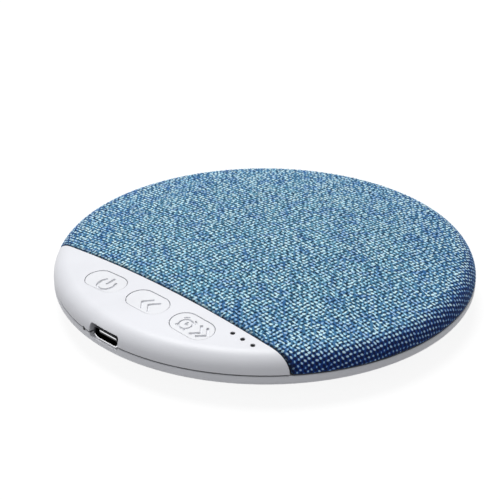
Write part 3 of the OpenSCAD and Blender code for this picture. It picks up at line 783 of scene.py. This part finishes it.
# Steps from one crossing to the next along a pale weft and along a blue warp
WEFT = np.array([0.73, 0.55]) * MM
WARP = np.array([0.53, -0.55]) * MM
YARNS = np.stack([WEFT, WARP], 1)
TO_YARNS = np.linalg.inv(YARNS)

# Points of the mesh from one crossing to the next
WEFT_STEPS = 3
WARP_STEPS = 2

# Waves by which yarns wander from a straight grid: a wave of STRAY_LENGTH is STRAY high, and the
# others are higher or lower as they are longer or shorter
STRAY = 0.06 * MM
STRAY_LENGTH = 11 * MM
STRAY_WAVES = (5 * MM, 7 * MM, STRAY_LENGTH, 17 * MM)
STRAY_SEED = 7

# Height of a pale yarn, part of it that a blue one reaches, and depth of the cloth under the top
RELIEF = 0.22 * MM
BLUE_PART = 0.3
CLOTH_DEPTH = 0.17 * MM

# The fold along the panel, turned in steps of degrees, and the shade on the top beside it
FOLD_R = 0.45 * MM
FOLD_TURNS = (30, 60, 90)
FOLD_DROP = 1.5 * MM
FOLD_SHADE = 0.8 * MM
FOLD_SHADE_MOST = 0.85
CHORD_LINE = CHORD_Y + FOLD_R

# The part that is tucked in at the seam, which sags a little on its way
TUCK = 0.7 * MM
TUCK_BEND = 0.3
TUCK_SAG = np.array([0, 0, 0.03 * MM])

# The search for the straight edge, and the least part of a plain quad's area that a quad may have
SEARCH_REACH = 4 * MM
SEARCH_STEPS = 40
SLIVER = 0.002


def on_top(along, across):
    """Places on the top, and outward normals, of points given by their flat distances on the cloth."""
    reach = np.hypot(along, across)
    safe = np.maximum(reach, TINY)
    ahead = np.stack([along / safe, across / safe], -1)
    lean = np.where(
        reach < CROWN_REACH,
        reach / CROWN_R,
        LEAN_AT_EDGE + (reach - CROWN_REACH) / EDGE_R,
    )
    flat = lean < LEAN_AT_EDGE
    out = np.where(flat, CROWN_R * np.sin(lean), EDGE_MID + EDGE_R * np.sin(lean))
    high = np.where(flat, CROWN_MID + CROWN_R * np.cos(lean), TOP_START + EDGE_R * np.cos(lean))
    place = np.concatenate([ahead * out[..., None], high[..., None]], -1)
    normal = np.concatenate([ahead * np.sin(lean)[..., None], np.cos(lean)[..., None]], -1)
    return place, normal


def weave_height(weft, warp):
    """Height of the upper yarn: pale ones on top at even crossings, blue ones at odd crossings."""
    row, column = np.round(warp), np.round(weft)
    pale = (0.5 + 0.5 * np.cos(math.pi * (weft + row))) * np.cos(math.pi * (warp - row))
    blue = (0.5 - 0.5 * np.cos(math.pi * (warp + column))) * np.cos(math.pi * (weft - column))
    return RELIEF * np.maximum(pale, BLUE_PART * blue)


def stray(along, across):
    """How far the yarns wander from a straight grid: a few seeded waves."""
    chances = np.random.default_rng(STRAY_SEED)
    shift = np.zeros((2, *along.shape))
    for length in STRAY_WAVES:
        for axis in shift:
            turn, phase = chances.uniform(0, math.tau, 2)
            ahead = along * math.cos(turn) + across * math.sin(turn)
            axis += STRAY * length / STRAY_LENGTH * np.sin(math.tau * ahead / length + phase)
    return shift


def clamp_to_outline(along, across):
    """Moves points that lie past the cloth's round edge or its straight one back onto that edge."""
    reach = np.hypot(along, across)
    shrink = np.minimum(1, CLOTH_REACH / np.maximum(reach, TINY))
    along, across = along * shrink, across * shrink
    low, high = across.copy(), across + SEARCH_REACH
    past = on_top(along, across)[0][..., 1] < CHORD_LINE
    for _ in range(SEARCH_STEPS):
        middle = (low + high) / 2
        short = on_top(along, middle)[0][..., 1] < CHORD_LINE
        low, high = np.where(short, middle, low), np.where(short, high, middle)
    across = np.where(past, high, across)
    outside = past & (np.hypot(along, across) > CLOTH_REACH)
    sine = CHORD_LINE / BODY_R
    corner = CLOTH_REACH * math.sqrt(1 - sine * sine)
    along = np.where(outside, np.sign(along) * corner, along)
    across = np.where(outside, CLOTH_REACH * sine, across)
    return along, across, past


def lay_yarns():
    """The grid of mesh points as yarns lie: crossings, flat places, which are inside, and quads."""
    most = np.ceil(CLOTH_REACH * np.linalg.norm(TO_YARNS, axis=1)) + 1
    weft, warp = np.meshgrid(
        np.arange(-most[0], most[0], 1 / WEFT_STEPS),
        np.arange(-most[1], most[1], 1 / WARP_STEPS),
    )
    along = WEFT[0] * weft + WARP[0] * warp
    across = WEFT[1] * weft + WARP[1] * warp
    wander = stray(along, across)
    along, across = along + wander[0], across + wander[1]
    inside = np.hypot(along, across) < CLOTH_REACH
    inside &= on_top(along, across)[0][..., 1] > CHORD_LINE
    kept = inside[:-1, :-1] | inside[1:, :-1] | inside[:-1, 1:] | inside[1:, 1:]
    index = np.arange(along.size).reshape(along.shape)
    quads = np.stack([index[:-1, :-1], index[1:, :-1], index[1:, 1:], index[:-1, 1:]], -1)[kept]
    used, quads = np.unique(quads, return_inverse=True)
    crossing = np.stack([weft.ravel()[used], warp.ravel()[used]], -1)
    flat = np.stack([along.ravel()[used], across.ravel()[used]], -1)
    return crossing, flat, inside.ravel()[used], quads.reshape(-1, 4)


def drop_slivers(quads, place):
    """Leaves out quads that the outline has flattened to nothing."""
    p = place[quads]
    area = np.linalg.norm(np.cross(p[:, 2] - p[:, 0], p[:, 3] - p[:, 1]), axis=1) / 2
    plain = abs(np.linalg.det(YARNS)) / (WEFT_STEPS * WARP_STEPS)
    return quads[area > SLIVER * plain]


def find_open_edges(quads):
    """Edges that only one quad has, in the direction in which it has them."""
    starts = quads.ravel()
    ends = np.roll(quads, -1, axis=1).ravel()
    found = set(zip(starts.tolist(), ends.tolist()))
    return sorted((a, b) for a, b in found if (b, a) not in found)


def make_fabric(material):
    """One sheet of cloth: its weave in relief, folded in at the panel and tucked in at the seam."""
    crossing, free, inside, quads = lay_yarns()
    along, across, by_panel = clamp_to_outline(*free.T)
    flat = np.stack([along, across], -1)
    crossing = crossing + (flat - free) @ TO_YARNS.T
    height = weave_height(*crossing.T) * inside
    place, normal = on_top(along, across)
    place = place + normal * (height - CLOTH_DEPTH)[:, None]
    quads = drop_slivers(quads, place)
    open_edges = find_open_edges(quads)

    reach = np.hypot(along, across)
    bend = (reach - CROWN_REACH) / (CLOTH_REACH - CROWN_REACH)
    cloth = np.column_stack([crossing, bend])
    # Painted shade on the cloth beside the panel, full on the folded rows
    panel_shade = np.clip(1 - (place[:, 1] - CHORD_LINE) / FOLD_SHADE, 0, 1) * FOLD_SHADE_MOST
    places, cloths, fold_shades, faces = [*place], [*cloth], [*panel_shade], quads.tolist()

    def run_on(edges, rows):
        """Adds rows of faces past open edges; rows gives a vertex's places, crossings and painted fold
        shade.
        """
        made = {}
        for a, b in edges:
            for v in (a, b):
                if v in made:
                    continue
                made[v] = [v]
                for there, at_yarns, fold_shade_share in rows(v):
                    made[v].append(len(places))
                    places.append(there)
                    cloths.append(at_yarns)
                    fold_shades.append(fold_shade_share)
            for k in range(len(made[a]) - 1):
                faces.append([made[b][k], made[a][k], made[a][k + 1], made[b][k + 1]])

    forward_yarns = np.append(TO_YARNS @ [0, -1], 0)

    def fold(v):
        n = normal[v]
        forward = np.array([0, -1, 0]) + n * n[1]
        forward /= np.linalg.norm(forward)
        for turn in FOLD_TURNS:
            a = math.radians(turn)
            there = place[v] + forward * FOLD_R * math.sin(a) - n * FOLD_R * (1 - math.cos(a))
            yield there, cloth[v] + forward_yarns * FOLD_R * a, 1.0
        down = place[v] + forward * FOLD_R - n * (FOLD_R + FOLD_DROP)
        yield down, cloth[v] + forward_yarns * (FOLD_R * math.pi / 2 + FOLD_DROP), 1.0

    def tuck(v):
        inward = -normal[v]
        outward_yarns = np.append(TO_YARNS @ flat[v] / reach[v], 0)
        bent = TUCK_BEND * TUCK
        yield place[v] + inward * bent - TUCK_SAG, cloth[v] + outward_yarns * bent, 0.0
        yield place[v] + inward * TUCK, cloth[v] + outward_yarns * TUCK, 0.0

    run_on([e for e in open_edges if by_panel[e[0]] and by_panel[e[1]]], fold)
    run_on([e for e in open_edges if not (by_panel[e[0]] and by_panel[e[1]])], tuck)

    mesh = bpy.data.meshes.new("fabric_cover")
    mesh.from_pydata([tuple(q) for q in places], [], faces)
    attribute = mesh.attributes.new("cloth", "FLOAT_VECTOR", "POINT")
    attribute.data.foreach_set("vector", np.array(cloths, np.float32).ravel())
    # The painted shade of the fold, for the woven finish
    attribute = mesh.attributes.new("fold", "FLOAT", "POINT")
    attribute.data.foreach_set("value", np.array(fold_shades, np.float32))
    mesh.shade_smooth()
    mesh.materials.append(material)
    fabric = add_object("fabric_cover", mesh)
    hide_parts("grille_fabric")
    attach(fabric, "housing")


# The keys, with their signs sunk into the top

# How far the keys' tops lie under the crown
KEY_SINK = 0.1 * MM

# Widths of the signs' strokes, how deep they go, and how far the cutting bars stand out
BOLD = 0.7 * MM
FINE = 0.46 * MM
SIGN_DEPTH = 0.42 * MM
SIGN_ABOVE = 0.2 * MM

# A bar's section, from side to side: shares of its width, and heights from the key's top
BAR_SECTION = ((0.5, SIGN_ABOVE), (0.4, -SIGN_DEPTH), (-0.4, -SIGN_DEPTH), (-0.5, SIGN_ABOVE))

# At a corner a bar's width is divided by the cosine of half the turn, taken as no less than this
LEAST_COSINE = 0.5

# Points nearer than this become one, and edges with a greater angle are shaded as sharp
MERGE = 0.001 * MM
SHARP_ANGLE = math.radians(25)


def key_top(x, y):
    return CROWN_MID + math.sqrt((CROWN_R - KEY_SINK) ** 2 - x * x - y * y)


def at_angle(middle, radius, degrees):
    angle = math.radians(degrees)
    return middle[0] + radius * math.cos(angle), middle[1] + radius * math.sin(angle)


def turn_line(middle, radius, start, end, count):
    """Points along an arc, with angles in degrees."""
    return [at_angle(middle, radius, start + (end - start) * k / count) for k in range(count + 1)]


def chevron(x, y, way, half=2.1, deep=2.0):
    return [(x - way * deep, y + half), (x, y), (x - way * deep, y - half)]


def add_bar(points, width, places, faces):
    """A bar with sloped sides that reaches into the key along points given in millimetres."""
    closed = math.dist(points[0], points[-1]) * MM < MERGE
    line = [Vector((x * MM, y * MM)) for x, y in points]
    if closed:
        line.pop()
    count = len(line)
    first = len(places)
    for k, at in enumerate(line):
        before = line[k - 1] if closed or k else at
        after = line[(k + 1) % count] if closed or k + 1 < count else at
        ahead = ((after - at).normalized() + (at - before).normalized()).normalized()
        cosine = ahead.dot((after - at if after != at else at - before).normalized())
        side = Vector((-ahead.y, ahead.x)) * width / max(LEAST_COSINE, cosine)
        for share, rise in BAR_SECTION:
            x, y = at + side * share
            places.append((x, y, key_top(x, y) + rise))
    corners = len(BAR_SECTION)
    for k in range(count if closed else count - 1):
        a = first + corners * k
        b = first + corners * ((k + 1) % count)
        for c in range(corners):
            d = (c + 1) % corners
            faces.append((a + c, b + c, b + d, a + d))
    if not closed:
        last = len(places) - corners
        faces.append(tuple(first + c for c in range(corners)))
        faces.append(tuple(last + c for c in reversed(range(corners))))


def make_key(node, name, body, strokes, material):
    """A copy of a key's solid with a sign cut into its top, in place of the plain key."""
    places, faces = [], []
    for points, width in strokes:
        add_bar(points, width, places, faces)
    bars = bpy.data.meshes.new(name + "_bars")
    bars.from_pydata(places, [], faces)
    solid = nodes[node].data.copy()
    for mesh in (bars, solid):
        work = bmesh.new()
        work.from_mesh(mesh)
        bmesh.ops.remove_doubles(work, verts=work.verts, dist=MERGE)
        bmesh.ops.recalc_face_normals(work, faces=work.faces)
        work.to_mesh(mesh)
        work.free()
    solid.materials.clear()
    key = add_object(name, solid)
    tool = add_object(name + "_bars", bars)
    cut = key.modifiers.new("sign", "BOOLEAN")
    cut.operation = "DIFFERENCE"
    cut.solver = "EXACT"
    cut.use_self = True
    cut.object = tool
    done = key.evaluated_get(bpy.context.evaluated_depsgraph_get())
    mesh = bpy.data.meshes.new_from_object(done)
    key.modifiers.clear()
    key.data = mesh
    bpy.data.objects.remove(tool)
    packed_normals = mesh.attributes.get("custom_normal")
    if packed_normals:
        mesh.attributes.remove(packed_normals)
    mesh.shade_smooth()
    mesh.set_sharp_from_angle(angle=SHARP_ANGLE)
    mesh.materials.append(material)
    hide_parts(node)
    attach(key, body)


def make_keys(material):
    """The three keys. Places on the signs are in millimetres from the middle of the disc."""
    power = (-13.3, -42.5)
    ring = turn_line(power, radius=2.35, start=133, end=402, count=28)
    bar = [(power[0], power[1] - 0.1), (power[0], power[1] + 2.8)]
    make_key("power_key", "power_cap", "power_button", [(ring, BOLD), (bar, BOLD)], material)

    back = [chevron(0.05, -42.4, way=-1), chevron(2.4, -42.4, way=-1)]
    make_key("back_key", "back_cap", "back_button", [(points, BOLD) for points in back], material)

    clock = (15.2, -42.2)
    face = turn_line(clock, radius=1.75, start=0, end=360, count=32)
    bells = [
        turn_line(clock, radius=2.55, start=112, end=146, count=8),
        turn_line(clock, radius=2.55, start=34, end=68, count=8),
    ]
    legs = [[at_angle(clock, radius, angle) for radius in (1.6, 2.5)] for angle in (-142, -53)]
    hands = [(clock[0], clock[1] + 1.0), clock, (clock[0] + 0.7, clock[1])]
    forward = [chevron(20.45, -42.15, way=1), chevron(22.35, -41.9, way=1)]
    strokes = [(points, FINE) for points in (face, *bells, *legs, hands)]
    strokes += [(points, BOLD) for points in forward]
    make_key("timer_key", "timer_cap", "timer_button", strokes, material)


def save_sizes():
    boxes = {"cad": cad_box, "visual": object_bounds()}
    plain = {key: [[float(c) for c in corner] for corner in box] for key, box in boxes.items()}


set_camera()
set_floor()
set_world()
set_light()
materials = make_materials()
dress_nodes(materials)
make_fabric(woven("blue_fabric"))
make_keys(materials["key_plastic"])
bpy.context.scene.view_settings.view_transform = "Standard"
save_sizes()
